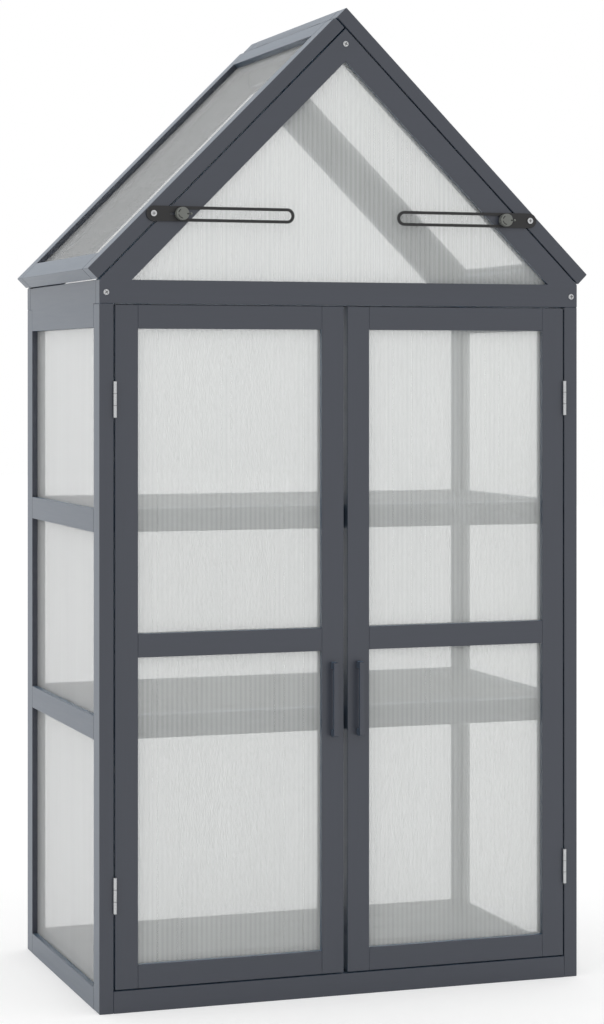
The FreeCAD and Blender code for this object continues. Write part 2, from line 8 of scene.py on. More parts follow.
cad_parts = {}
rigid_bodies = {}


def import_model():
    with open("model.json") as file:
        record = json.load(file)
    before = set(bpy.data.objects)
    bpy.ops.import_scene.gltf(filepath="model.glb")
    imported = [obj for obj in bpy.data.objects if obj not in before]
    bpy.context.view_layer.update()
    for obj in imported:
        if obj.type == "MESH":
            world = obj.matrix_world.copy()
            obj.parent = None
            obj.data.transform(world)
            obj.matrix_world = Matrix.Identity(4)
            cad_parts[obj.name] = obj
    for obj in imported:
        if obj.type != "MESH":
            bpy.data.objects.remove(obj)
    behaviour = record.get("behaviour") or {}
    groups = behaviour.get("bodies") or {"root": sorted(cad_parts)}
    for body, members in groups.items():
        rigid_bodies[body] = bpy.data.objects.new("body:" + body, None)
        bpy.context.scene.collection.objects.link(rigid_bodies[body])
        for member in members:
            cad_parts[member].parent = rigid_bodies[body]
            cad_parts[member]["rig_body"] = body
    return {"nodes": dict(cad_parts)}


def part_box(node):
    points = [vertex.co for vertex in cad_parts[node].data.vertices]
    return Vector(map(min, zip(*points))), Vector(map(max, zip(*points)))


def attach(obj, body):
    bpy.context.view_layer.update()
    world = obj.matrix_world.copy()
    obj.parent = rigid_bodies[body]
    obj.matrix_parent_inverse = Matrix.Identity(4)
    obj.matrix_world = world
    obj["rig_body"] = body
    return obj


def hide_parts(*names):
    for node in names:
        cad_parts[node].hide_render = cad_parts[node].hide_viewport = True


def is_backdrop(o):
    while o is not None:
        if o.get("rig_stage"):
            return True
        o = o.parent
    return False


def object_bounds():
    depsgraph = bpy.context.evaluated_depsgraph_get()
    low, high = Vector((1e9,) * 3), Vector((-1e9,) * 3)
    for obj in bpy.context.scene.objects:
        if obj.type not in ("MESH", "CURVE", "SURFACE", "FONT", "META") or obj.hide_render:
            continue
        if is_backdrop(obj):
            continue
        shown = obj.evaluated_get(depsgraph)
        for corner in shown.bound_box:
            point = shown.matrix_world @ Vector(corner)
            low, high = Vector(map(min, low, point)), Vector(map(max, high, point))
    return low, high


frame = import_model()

# Wooden mini greenhouse: slate painted timber frames round twin-wall sheets, two doors,
# slatted decks and a gable roof whose leaves are propped on slotted stays.
# Metres, in the frame of the solids: +Z is up and the doors face -Y.

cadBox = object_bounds()
scene = bpy.context.scene
nodes = frame["nodes"]
sides = {"left": -1, "right": 1}
print("greenhouse: solids loaded")

# Materials and trees are written as short lists of nodes, each wired to the ones before it.
# A noise seldom nears 0 or 1, so only the middle of its range is spread over a look.
noiseUse = {"values": (0.32, 0.68), "colours": (0.34, 0.66), "roughness": 0.58}


def addNode(tree, kind, inputs, **settings):
    node = tree.nodes.new(kind)
    for name, value in settings.items():
        setattr(node, name, value)
    for name, value in inputs.items():
        if isinstance(value, bpy.types.NodeSocket):
            tree.links.new(value, node.inputs[name])
        else:
            node.inputs[name].default_value = value
    return node


def maths(tree, operation, *values):
    return addNode(tree, "ShaderNodeMath", dict(enumerate(values)), operation=operation).outputs[0]


def newMaterial(name):
    material = bpy.data.materials.new(name)
    material.use_nodes = True
    tree = material.node_tree
    tree.nodes.clear()
    return material, tree, addNode(tree, "ShaderNodeTexCoord", {}).outputs["Object"]


def between(tree, fac, low, high):
    least, most = noiseUse["values"]
    ends = {"Value": fac, "From Min": least, "From Max": most, "To Min": low, "To Max": high}
    return addNode(tree, "ShaderNodeMapRange", ends).outputs["Result"]


def shades(tree, fac, colour, spread):
    node = addNode(tree, "ShaderNodeValToRGB", {"Fac": fac})
    factors = (1 - spread, 1 + spread)
    for element, place, factor in zip(node.color_ramp.elements, noiseUse["colours"], factors):
        element.position = place
        element.color = (*[min(channel * factor, 1) for channel in colour], 1)
    return node.outputs["Color"]


def noise(tree, where, scale, detail):
    inputs = {"Vector": where, "Scale": scale, "Detail": detail, "Roughness": noiseUse["roughness"]}
    return addNode(tree, "ShaderNodeTexNoise", inputs).outputs["Fac"]


def relief(tree, height, depth, strength):
    inputs = {"Height": height, "Distance": depth, "Strength": strength}
    return addNode(tree, "ShaderNodeBump", inputs).outputs["Normal"]


def surface(tree, inputs):
    shader = addNode(tree, "ShaderNodeBsdfPrincipled", inputs)
    addNode(tree, "ShaderNodeOutputMaterial", {"Surface": shader.outputs["BSDF"]})


# Slate satin paint, with the grain of the board showing faintly through it
paint = {
    "colour": (0.043, 0.049, 0.066),
    # Near-black painted shade for the side faces of the deck slats, in the gaps between them
    "slatGapShade": (0.010, 0.011, 0.012),
    "spread": 0.05,                     # how far the colour wanders
    "fibres": (280, 5),                 # noise scale across the board, and its detail
    "clouds": (22, 3),
    "fibreShare": 0.45,                 # of the fibres, against the clouds
    "stretch": 0.05,                    # width of a fibre over its length
    "relief": (0.00012, 0.25),          # depth and strength
    "roughness": (0.33, 0.39), "specular": 0.5,
    "mattRoughness": (0.40, 0.50), "mattSpecular": 0.4,
    "coat": 0.25, "coatRoughness": 0.35,
    "sheen": 0.2, "sheenRoughness": 0.4,
    "sheenTint": (0.35, 0.65, 1, 1),    # cool light on the faces that are seen at a slant
}
grainTurns = {"alongX": (0, 0, 0), "alongY": (0, 0, 90), "alongZ": (0, 90, 0),
              "downLeft": (0, 45, 0), "downRight": (0, -45, 0), "decks": (0, 0, 0),
              "slatGapShade": (0, 0, 0)}


def slatePaint(run):
    material, tree, spot = newMaterial(f"slate_paint_{run}")
    matt = run in ("decks", "slatGapShade")
    turn = [math.radians(angle) for angle in grainTurns[run]]
    turned = addNode(tree, "ShaderNodeMapping", {"Vector": spot, "Rotation": turn}).outputs["Vector"]
    drawn = {"Vector": turned, "Scale": (paint["stretch"], 1, 1)}
    along = addNode(tree, "ShaderNodeMapping", drawn).outputs["Vector"]
    grain = noise(tree, along, *paint["fibres"])
    clouds = noise(tree, along, *paint["clouds"])
    shares = {"Factor": paint["fibreShare"], "A": clouds, "B": grain}
    both = addNode(tree, "ShaderNodeMix", shares).outputs["Result"]
    # The slats' side faces take the near-black painted shade in place of the slate colour
    colour = paint["slatGapShade" if run == "slatGapShade" else "colour"]
    surface(tree, {
        "Base Color": shades(tree, both, colour, paint["spread"]),
        "Roughness": between(tree, both, *paint["mattRoughness" if matt else "roughness"]),
        "Specular IOR Level": paint["mattSpecular" if matt else "specular"],
        "Coat Weight": 0 if matt else paint["coat"],
        "Coat Roughness": paint["coatRoughness"],
        "Sheen Weight": 0 if matt else paint["sheen"],
        "Sheen Roughness": paint["sheenRoughness"],
        "Sheen Tint": paint["sheenTint"],
        "Normal": relief(tree, grain, *paint["relief"])})
    return material


# Twin-wall sheet: thin clear skins with a faint haze, denser where a web joins them, and webs
flutes = {"pitch": 0.007, "thickness": 0.0005, "skins": 0.0005, "margin": 0.001, "shortest": 0.002,
          "vary": (210, 1)}             # noise along the sheet: some webs show more than others
haze = {
    "scale": 14, "detail": 3, "drawn": (1, 1, 0.1), "spread": 0.01,
    "relief": (0.0006, 0.2), "roughness": (0.38, 0.46), "specular": 0.12,
}
# One sheet, with a copy of its skin for each place: the skins on the roof leaves, which face the sky, are
# darkened as painted shade, and the gable's skin is a little darker than the upright ones
sheetLooks = {
    "skin_in_front": {"colour": (0.90, 0.925, 0.91), "cover": (0.301, 0.315), "seam": 0.029},
    "skin_in_gable": {"colour": (0.86, 0.885, 0.87), "cover": (0.296, 0.310), "seam": 0.029},
    "skin_behind": {"colour": (0.90, 0.91, 0.92), "cover": (0.296, 0.310), "seam": 0.005},
    "skin_on_sides": {"colour": (0.90, 0.915, 0.91), "cover": (0.290, 0.304), "seam": 0.010,
                      "axis": "Y"},
    "skin_on_leaves": {"colour": (0.755, 0.77, 0.765), "cover": (0.286, 0.300), "seam": 0.024,
                       "axis": "Y"},
    "sheet_web": {"colour": (0.90, 0.91, 0.91), "cover": (0.002, 0.005), "edgeOn": 0.03},
}


def sheetPlastic(name, colour, cover, seam=0.0, axis="X", edgeOn=0.0):
    material, tree, spot = newMaterial(name)
    drawn = addNode(tree, "ShaderNodeMapping", {"Vector": spot, "Scale": haze["drawn"]}).outputs["Vector"]
    cloud = noise(tree, drawn, haze["scale"], haze["detail"])
    opacity = between(tree, cloud, *cover)
    if seam:
        # One wave to each flute, about as strong as the next
        place = addNode(tree, "ShaderNodeSeparateXYZ", {"Vector": spot}).outputs[axis]
        scale, detail = flutes["vary"]
        strength = addNode(tree, "ShaderNodeTexNoise", {"W": place, "Scale": scale, "Detail": detail},
                           noise_dimensions="1D").outputs["Fac"]
        turns = maths(tree, "MULTIPLY", place, 2 * math.pi / flutes["pitch"])
        wave = maths(tree, "MULTIPLY", maths(tree, "COSINE", turns), strength)
        wave = maths(tree, "MULTIPLY", wave, 2)     # the noise is a half on average
        opacity = maths(tree, "MULTIPLY_ADD", wave, seam, opacity)
    if edgeOn:
        slant = addNode(tree, "ShaderNodeLayerWeight", {"Blend": 0.5}).outputs["Facing"]
        opacity = maths(tree, "MULTIPLY_ADD", slant, edgeOn, opacity)
    surface(tree, {
        "Base Color": shades(tree, cloud, colour, haze["spread"]),
        "Roughness": between(tree, cloud, *haze["roughness"]),
        "Specular IOR Level": haze["specular"],
        "Alpha": opacity,
        "Normal": relief(tree, cloud, *haze["relief"])})
    return material


# Metals of the fittings, and the painted shade of their hollows and chamfers
speck = {"detail": 4, "spread": 0.1, "relief": (0.00004, 0.3)}
metalLooks = {
    "bright_zinc": {"colour": (0.525, 0.533, 0.542), "metallic": 1, "roughness": (0.26, 0.40),
                    "scale": 900},
    "black_coating": {"colour": (0.009, 0.009, 0.010), "roughness": (0.34, 0.46), "scale": 1500},
    "nut_grey": {"colour": (0.156, 0.164, 0.150), "roughness": (0.40, 0.52), "scale": 1100},
    # Near-black painted shade for the sunk marks of the nuts and the necks of their lugs
    "painted_shade_dark": {"colour": (0.010, 0.010, 0.010), "roughness": (0.55, 0.65), "scale": 1100},
    # Mid-grey painted shade for the hinge chamfers and the crosses of the screws
    "painted_shade_grey": {"colour": (0.20, 0.20, 0.205), "roughness": (0.50, 0.60), "scale": 1100},
}


def metalFinish(name, colour, roughness, scale, metallic=0):
    material, tree, spot = newMaterial(name)
    specks = noise(tree, spot, scale, speck["detail"])
    surface(tree, {
        "Base Color": shades(tree, specks, colour, speck["spread"]),
        "Metallic": metallic,
        "Roughness": between(tree, specks, *roughness),
        "Normal": relief(tree, specks, *speck["relief"])})
    return material


paints = {run: slatePaint(run) for run in grainTurns}
plastics = {name: sheetPlastic(name, **look) for name, look in sheetLooks.items()}
metals = {name: metalFinish(name, **look) for name, look in metalLooks.items()}
print("greenhouse: finishes mixed")

# Meshes are worked on loose copies, because the solids themselves stay as they are
joining = {"weld": 0.00001, "weldFused": 0.00002, "flat": 0.01}


def cleanCopy(*names):
    work = bmesh.new()
    for name in names:
        work.from_mesh(nodes[name].data)
    bmesh.ops.remove_doubles(work, verts=work.verts, dist=joining["weld"])
    bmesh.ops.dissolve_limit(work, angle_limit=joining["flat"], verts=work.verts, edges=work.edges)
    return work


def meshOf(work, name, *finishes):
    mesh = bpy.data.meshes.new(name)
    work.to_mesh(mesh)
    work.free()
    for finish in finishes:
        mesh.materials.append(finish)
    return mesh


def linked(name, mesh):
    piece = bpy.data.objects.new(name, mesh)
    scene.collection.objects.link(piece)
    return piece


def painted(mesh, *finishes):
    # Clearing first sends every face back to the first finish
    mesh.materials.clear()
    for finish in finishes:
        mesh.materials.append(finish)


def evaluated(piece):
    # The piece's mesh with its modifiers worked out, and none left on it
    bpy.context.view_layer.update()
    shaped = piece.evaluated_get(bpy.context.evaluated_depsgraph_get())
    mesh = bpy.data.meshes.new_from_object(shaped)
    piece.modifiers.clear()
    piece.data = mesh
    return mesh


def addBoolean(piece, operation, other):
    step = piece.modifiers.new(operation.lower(), "BOOLEAN")
    step.operation = operation
    step.solver = "EXACT"
    step.object = other


def newTree(name, sockets):
    tree = bpy.data.node_groups.new(name, "GeometryNodeTree")
    for label, kind in sockets.items():
        tree.interface.new_socket(label, in_out="INPUT", socket_type=f"NodeSocket{kind}")
    tree.interface.new_socket("Geometry", in_out="OUTPUT", socket_type="NodeSocketGeometry")
    return tree, tree.nodes.new("NodeGroupInput").outputs


def grown(piece, tree, values):
    # What the tree makes of the piece, as its plain mesh
    modifier = piece.modifiers.new(tree.name, "NODES")
    modifier.node_group = tree
    for item in tree.interface.items_tree:
        if item.item_type == "SOCKET" and item.in_out == "INPUT" and item.name in values:
            modifier[item.identifier] = values[item.name]
    return evaluated(piece)


def joinTo(piece, body, slot, *replaced):
    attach(piece, body)
    if replaced:
        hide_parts(*replaced)


def islands(work):
    # The corners of each loose part, in the mesh's own order so that each run is the same
    seen = set()
    for start in work.verts:
        if start in seen:
            continue
        seen.add(start)
        part = [start]
        for spot in part:       # grows as it is walked
            for edge in spot.link_edges:
                other = edge.other_vert(spot)
                if other not in seen:
                    seen.add(other)
                    part.append(other)
        yield [spot.co.copy() for spot in part]


def reach(spots):
    return Vector([min(axis) for axis in zip(*spots)]), Vector([max(axis) for axis in zip(*spots)])


# Timber: every board's long edges are eased, less where a hinge leaf is let in
easing = {
    "width": 0.0008, "postWidth": 0.0014, "handleWidth": 0.0011, "steps": 3,
    "sharp": 0.5, "hollow": 0.1,        # radians between two faces
    "shortest": 0.004,                  # edges below this stay sharp
    "share": 0.45,                      # of the shortest edge that meets the eased one
    "smooth": 38,                       # degrees, above which an edge stays crisp
    # Faces turned this far towards the gaps between slats get the painted shade
    "gapShadeTurn": 0.3,                    # faces that turn this far to the gaps between slats
}
grainOf = {
    "alongZ": ["front_left_post", "front_right_post", "back_left_post", "back_right_post",
               "left_door_stiles", "right_door_stiles"],
    "alongX": ["front_sill", "back_rails", "shelf_front_boards", "left_door_top_rail",
               "left_door_middle_rail", "left_door_bottom_rail", "right_door_top_rail",
               "right_door_middle_rail", "right_door_bottom_rail"],
    "decks": ["floor_deck", "lower_shelf_deck", "upper_shelf_deck"],
    "alongY": ["left_bottom_rail", "left_middle_rails", "left_top_board", "right_bottom_rail",
               "right_middle_rails", "right_top_board", "ridge_beam", "deck_cleats",
               "left_roof_rails", "right_roof_rails"],
    "downLeft": ["left_roof_rafters"],
    "downRight": ["right_roof_rafters"],
}


def hollow(face):
    return any(not edge.is_convex and edge.calc_face_angle(0) > easing["hollow"] for edge in face.edges)


def smoothed(piece):
    piece.data.shade_smooth()
    piece.data.set_sharp_from_angle(angle=math.radians(easing["smooth"]))
    normals = piece.modifiers.new("flat faces", "WEIGHTED_NORMAL")
    normals.keep_sharp = True
    evaluated(piece)


def easeEdges(piece, width):
    work = bmesh.new()
    work.from_mesh(piece.data)
    weights = work.edges.layers.float.new("bevel_weight_edge")
    for edge in work.edges:
        sharp = edge.is_convex and edge.calc_face_angle(0) > easing["sharp"]
        if not sharp or edge.calc_length() < easing["shortest"] or any(map(hollow, edge.link_faces)):
            continue
        near = [other.calc_length() for end in edge.verts for other in end.link_edges]
        edge[weights] = min(1, easing["share"] * min(near) / width)
    work.to_mesh(piece.data)
    work.free()
    bevel = piece.modifiers.new("easing", "BEVEL")
    bevel.limit_method = "WEIGHT"
    bevel.offset_type = "OFFSET"
    bevel.width = width
    bevel.segments = easing["steps"]
    bevel.use_clamp_overlap = False
    evaluated(piece)
    smoothed(piece)


def board(name, finish, width, slot, source):
    piece = linked(name, meshOf(cleanCopy(source), name))
    easeEdges(piece, width)
    painted(piece.data, finish)
    joinTo(piece, nodes[source]["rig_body"], slot, source)
    return piece


def paintGapShade(piece):
    # Painted shade: the slats' side faces get a near-black paint, so the narrow gaps between slats read as
    # dark lines
    piece.data.materials.append(paints["slatGapShade"])
    for face in piece.data.polygons:
        face.material_index = int(abs(face.normal.y) > easing["gapShadeTurn"])


for run, names in grainOf.items():
    for name in names:
        width = easing["postWidth" if name.endswith(("post", "rafters")) else "width"]
        piece = board(f"{name}_timber", paints[run], width, "painted_wood", name)
        if run == "decks":
            paintGapShade(piece)
for side in sides:
    board(f"{side}_pull_handle", paints["alongZ"], easing["handleWidth"], "handle_paint",
          f"{side}_door_handle")
print("greenhouse: timber eased and painted")


# Gables: each frame is one board without joints, so its rail and rafters are fused
def gableFrame(end):
    sources = (f"{end}_gable_rail", f"{end}_gable_rafters")
    piece, rafters = [linked(f"{name}_blank", meshOf(cleanCopy(name), f"{name}_blank"))
                      for name in sources]
    addBoolean(piece, "UNION", rafters)
    evaluated(piece)
    bpy.data.objects.remove(rafters)
    piece.name = f"{end}_gable_timber"
    work = bmesh.new()
    work.from_mesh(piece.data)
    bmesh.ops.remove_doubles(work, verts=work.verts, dist=joining["weldFused"])
    # The mitre under the apex is the only face left between two boards
    mitre = [face for face in work.faces
             if all(abs(spot.co.x) < joining["weld"] for spot in face.verts)]
    bmesh.ops.delete(work, geom=mitre, context="FACES")
    bmesh.ops.dissolve_limit(work, angle_limit=joining["flat"], verts=work.verts, edges=work.edges)
    work.to_mesh(piece.data)
    work.free()
    easeEdges(piece, easing["width"])
    painted(piece.data, paints["alongX"])
    joinTo(piece, "cabinet", "painted_wood", *sources)


for end in ("front", "back"):
    gableFrame(end)
print("greenhouse: gables fused")


# Twin-wall sheets: the solids are the outer skins, and a tree sets the webs inside them
def fluteTree():
    lengths = ("Span", "First", "Height", "Fall", "Depth", "Pitch", "Thickness", "Shortest")
    tree, given = newTree("flute_webs", {**dict.fromkeys(lengths, "Float"), "Web": "Material"})

    def vector(x, y, z):
        return addNode(tree, "ShaderNodeCombineXYZ", {"X": x, "Y": y, "Z": z}).outputs[0]

    rest = maths(tree, "SUBTRACT", maths(tree, "MULTIPLY", given["Span"], 0.5), given["First"])
    pitches = maths(tree, "FLOOR", maths(tree, "DIVIDE", rest, given["Pitch"]))
    row = addNode(tree, "GeometryNodeMeshLine", {
        "Count": maths(tree, "ADD", pitches, 1.0), "Start Location": vector(given["First"], 0.0, 0.0),
        "Offset": vector(given["Pitch"], 0.0, 0.0)})
    slab = addNode(tree, "GeometryNodeMeshCube", {"Size": vector(given["Thickness"], given["Depth"], 1.0)})
    stood = addNode(tree, "GeometryNodeTransform", {
        "Geometry": slab.outputs["Mesh"], "Translation": (0, 0, 0.5)})
    place = addNode(tree, "GeometryNodeInputPosition", {}).outputs[0]
    across = addNode(tree, "ShaderNodeSeparateXYZ", {"Vector": place}).outputs["X"]
    drop = maths(tree, "MULTIPLY", maths(tree, "ABSOLUTE", across), given["Fall"])
    length = maths(tree, "MAXIMUM", maths(tree, "SUBTRACT", given["Height"], drop), given["Shortest"])
    webs = addNode(tree, "GeometryNodeInstanceOnPoints", {
        "Points": row.outputs["Mesh"], "Instance": stood.outputs["Geometry"],
        "Scale": vector(1.0, 1.0, length)})
    real = addNode(tree, "GeometryNodeRealizeInstances", {"Geometry": webs.outputs["Instances"]})
    finished = addNode(tree, "GeometryNodeSetMaterial", {
        "Geometry": real.outputs["Geometry"], "Material": given["Web"]})
    addNode(tree, "NodeGroupOutput", {"Geometry": finished.outputs["Geometry"]})
    return tree


def turnTo(across, through, along):
    return Matrix((across, through, along)).transposed().to_4x4()


slope = math.sqrt(0.5)
facing = turnTo((1, 0, 0), (0, 1, 0), (0, 0, 1))
sideways = turnTo((0, 1, 0), (-1, 0, 0), (0, 0, 1))
leafTurns = {side: turnTo((0, 1, 0), (sign * slope, 0, slope), (slope, 0, -sign * slope))
             for side, sign in sides.items()}
panes = {"left_panels": (sideways, "on_sides"), "right_panels": (sideways, "on_sides"),
         "back_panels": (facing, "behind"), "back_gable_panel": (facing, "behind"),
         "front_gable_panel": (facing, "in_gable"), "left_door_panels": (facing, "in_front"),
         "right_door_panels": (facing, "in_front"),
         "left_roof_panel": (leafTurns["left"], "on_leaves"),
         "right_roof_panel": (leafTurns["right"], "on_leaves")}
webTree = fluteTree()


def webMesh(spots, turn, fall):
    low, high = reach(spots)
    across, deep, tall = [most - least for least, most in zip(low, high)]
    middle = (low.x + high.x) / 2
    # The webs stand at whole pitches from the frame's middle, where the skins are densest
    first = math.ceil(low.x / flutes["pitch"]) * flutes["pitch"] - middle
    blank = linked("webs", bpy.data.meshes.new("webs"))
    mesh = grown(blank, webTree, {
        "Span": across, "First": first, "Height": tall - 2 * flutes["margin"], "Fall": fall,
        "Depth": deep - flutes["skins"], "Pitch": flutes["pitch"],
        "Thickness": flutes["thickness"], "Shortest": flutes["shortest"],
        "Web": plastics["sheet_web"]})
    foot = Vector((middle, (low.y + high.y) / 2, low.z + flutes["margin"]))
    mesh.transform(turn @ Matrix.Translation(foot))
    bpy.data.objects.remove(blank)
    return mesh


webMeshes = {}
for name, (turn, stand) in panes.items():
    painted(nodes[name].data, plastics[f"skin_{stand}"])
    work = cleanCopy(name)
    work.transform(turn.inverted())
    fall = 1.0 if "gable" in name else 0.0      # a gable sheet's webs get shorter towards its corners
    body = nodes[name]["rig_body"]
    webMeshes.setdefault(body, []).extend(webMesh(spots, turn, fall) for spots in islands(work))
    work.free()
for body, meshes in webMeshes.items():
    work = bmesh.new()
    for mesh in meshes:
        work.from_mesh(mesh)
    joined = meshOf(work, f"{body}_sheet_webs", plastics["sheet_web"])
    joinTo(linked(f"{body}_sheet_webs", joined), body, "fluted_sheet")
print("greenhouse: sheets fluted")

# Hinges: chamfered knuckles with mid-grey painted shade on the chamfers, and door plates countersunk for
# three screws each
fittings = {
    "chamfer": 0.00045, "chamferFrom": 50,      # degrees
    "platesApart": 0.0001,
    "pinAcross": 0.004,                         # a part no deeper than this is no plate
    "screwRows": ((-0.0155, 0.0055), (0, 0.0100), (0.0155, 0.0055)),   # up, in from the back edge
    "sinkAcross": (0.0026, 0.0046), "sinkDeep": 0.0010, "proud": 0.0001, "sinkAround": 24,
    "crossReach": 0.0026, "crossDepths": (0.00015, 0.0012),            # of the pivot screws
}
hingeScrews = {}


def plateScrews(name, work):
    # The screws of each plate, on the face that shows when the door stands open
    body = nodes[name]["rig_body"]
    places = []
    for spots in islands(work):
        low, high = reach(spots)
        middle = (low + high) / 2
        outward = math.copysign(1, middle.x) * (-1 if body == "cabinet" else 1)
        face = middle.x - outward * fittings["platesApart"] / 2
        if high.y - low.y > fittings["pinAcross"]:
            places += [((face, high.y - inward, middle.z + up), (outward, 0, 0))
                       for up, inward in fittings["screwRows"]]
    hingeScrews[body] = places
    return places


def countersink(piece, places):
    narrow, wide = fittings["sinkAcross"]
    depth = fittings["sinkDeep"] + fittings["proud"]
    work = bmesh.new()
    for place, outward in places:
        turn = Matrix.Rotation(math.radians(90 * outward[0]), 4, "Y")
        centre = Matrix.Translation(Vector(place) + Vector(outward) * (fittings["proud"] - depth / 2))
        bmesh.ops.create_cone(work, cap_ends=True, segments=fittings["sinkAround"], radius1=narrow / 2,
                              radius2=wide / 2, depth=depth, matrix=centre @ turn)
    cutter = linked("sinks", meshOf(work, "sinks"))
    addBoolean(piece, "DIFFERENCE", cutter)
    evaluated(piece)
    bpy.data.objects.remove(cutter)


def hingeIron(name, screwed):
    work = cleanCopy(name)
    places = plateScrews(name, work) if screwed else []
    piece = linked(f"{name}_iron", meshOf(work, f"{name}_iron", metals["bright_zinc"],
                                          metals["painted_shade_grey"]))
    bevel = piece.modifiers.new("chamfer", "BEVEL")
    bevel.limit_method = "ANGLE"
    bevel.angle_limit = math.radians(fittings["chamferFrom"])
    bevel.width = fittings["chamfer"]
    bevel.segments = 1
    # The chamfers take the mid-grey painted shade
    bevel.material = 1
    evaluated(piece)
    if places:
        countersink(piece, places)
    smoothed(piece)
    joinTo(piece, nodes[name]["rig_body"], "zinc", name)


def pivotScrew(side):
    name = f"{side}_stay_pivot_screw"
    work = cleanCopy(name)
    low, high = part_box(name)
    middle = (low + high) / 2
    least, most = fittings["crossDepths"]
    for face in work.faces:
        centre = face.calc_center_median()
        away = math.hypot(centre.x - middle.x, centre.z - middle.z)
        # Faces in the screw's cross get the mid-grey painted shade
        face.material_index = int(least < centre.y - low.y < most and away < fittings["crossReach"])
    mesh = meshOf(work, f"{side}_pivot_screw", metals["bright_zinc"], metals["painted_shade_grey"])
    piece = linked(f"{side}_pivot_screw", mesh)
    smoothed(piece)
    joinTo(piece, nodes[name]["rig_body"], "zinc", name)


for name in ("post_hinge_leaves", "left_door_hinge_leaves", "right_door_hinge_leaves"):
    hingeIron(name, True)
for name in ("ridge_hinge_straps", "left_roof_hinge_leaves", "right_roof_hinge_leaves"):
    hingeIron(name, False)
for side in sides:
    pivotScrew(side)
    painted(nodes[f"{side}_stay_stud"].data, metals["bright_zinc"])
    painted(nodes[f"{side}_stay"].data, metals["black_coating"])
print("greenhouse: hinges and stays finished")


def turnedRings(work, profile, around, spot):
    # A ring of corners for each point of the profile; spot gives a corner's place
    angles = [2 * math.pi * step / around for step in range(around)]
    return [[work.verts.new(spot(*point, math.cos(angle), math.sin(angle))) for angle in angles]
            for point in profile]


def ringFaces(work, rings):
    # Each face with the number of its strip and its step round the strip
    made = []
    for strip, (inner, outer) in enumerate(zip(rings, rings[1:])):
        for step in range(len(inner)):
            after = (step + 1) % len(inner)
            face = work.faces.new((inner[step], inner[after], outer[after], outer[step]))
            made.append((strip, step, face))
    return made


# Thumb nuts: a turned disc with two sunk marks and a small lug on its rim, with near-black painted shade in
# the marks, the notch and the lug's neck
nut = {
    "across": 0.018, "tall": 0.0095, "edge": 0.0007, "backEdge": 0.0004,
    "cap": 0.002, "bore": 0.0018, "around": 72,
    "markRing": (0.0057, 0.0069), "markDeep": 0.0008,
    "marks": ((192, 266), (120, 165)),          # degrees round the face
    "notchRing": 0.0078, "notch": (-8, 7), "notchStrips": 3,
    "lugBehind": 0.0024, "lugAround": 20, "neckStrips": 3,
    "neck": (0.0100, 0.0009), "knob": (0.0122, 0.00175), "knobSteps": 8,   # reach and girth
    "hair": 0.0001,                             # too small to see
}


def within(angle, ranges):
    return any((angle - first) % 360 <= last - first for first, last in ranges)


def nutDisc(work, middle, front):
    rim = nut["across"] / 2
    # Radius and depth behind the front face, from the middle of the face round to the bore
    profile = [(nut["markRing"][0], 0), (nut["markRing"][1], 0), (nut["notchRing"], 0),
               (rim - nut["edge"], 0), (rim, nut["edge"]), (rim, nut["tall"] - nut["backEdge"]),
               (rim - nut["backEdge"], nut["tall"]), (nut["bore"], nut["tall"]),
               (nut["bore"], nut["cap"])]
    rings = turnedRings(work, profile, nut["around"], lambda radius, depth, across, up: (
        middle.x + radius * across, front + depth, middle.z + radius * up))
    sunk = []
    for strip, step, face in ringFaces(work, rings):
        degrees = 360 * (step + 0.5) / nut["around"]
        marked = strip == 0 and within(degrees, nut["marks"])
        if marked or strip < nut["notchStrips"] and within(degrees, [nut["notch"]]):
            sunk.append(face)
    work.faces.new(rings[0])
    work.faces.new(reversed(rings[-1]))
    bmesh.ops.recalc_face_normals(work, faces=work.faces)
    floor = bmesh.ops.extrude_face_region(work, geom=sunk)
    dropped = [item for item in floor["geom"] if isinstance(item, bmesh.types.BMVert)]
    bmesh.ops.translate(work, verts=dropped, vec=(0, nut["markDeep"], 0))
    bmesh.ops.delete(work, geom=sunk, context="FACES_KEEP_BOUNDARY")
    # The walls and floors of the sunk marks and the notch get the near-black painted shade
    for face in work.faces:
        centre = face.calc_center_median()
        behind = centre.y - front
        if nut["hair"] < behind < nut["markDeep"] + nut["hair"] and (centre - middle).length < rim:
            face.material_index = 1


def nutLug(work, middle, front):
    # A thin neck from the rim with a rounded knob on its end; the neck is painted near-black as shade
    root = nut["across"] / 2 - nut["backEdge"]
    outline = [(root, nut["hair"]), (root, nut["neck"][1]), nut["neck"]]
    centreOut, radius = nut["knob"]
    start = math.asin(nut["neck"][1] / radius)
    for step in range(nut["knobSteps"] + 1):
        angle = math.pi - start - (math.pi - start) * step / nut["knobSteps"]
        girth = max(radius * math.sin(angle), nut["hair"])
        outline.append((centreOut + radius * math.cos(angle), girth))
    rings = turnedRings(work, outline, nut["lugAround"], lambda out, girth, back, up: (
        middle.x + out, front + nut["lugBehind"] + girth * back, middle.z + girth * up))
    added = []
    for strip, step, face in ringFaces(work, rings):
        # The neck takes the near-black painted shade, the knob the nut's grey
        face.material_index = int(strip < nut["neckStrips"])
        added.append(face)
    added += [work.faces.new(ring) for ring in (rings[0], rings[-1])]
    bmesh.ops.recalc_face_normals(work, faces=added)


for side in sides:
    low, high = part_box(f"{side}_thumb_nut")
    work = bmesh.new()
    nutDisc(work, (low + high) / 2, low.y)
    nutLug(work, (low + high) / 2, low.y)
    piece = linked(f"{side}_nut", meshOf(work, f"{side}_nut", metals["nut_grey"], metals["painted_shade_dark"]))
    smoothed(piece)
    joinTo(piece, f"nut_{side}", "nut_metal", f"{side}_thumb_nut")
print("greenhouse: nuts turned")

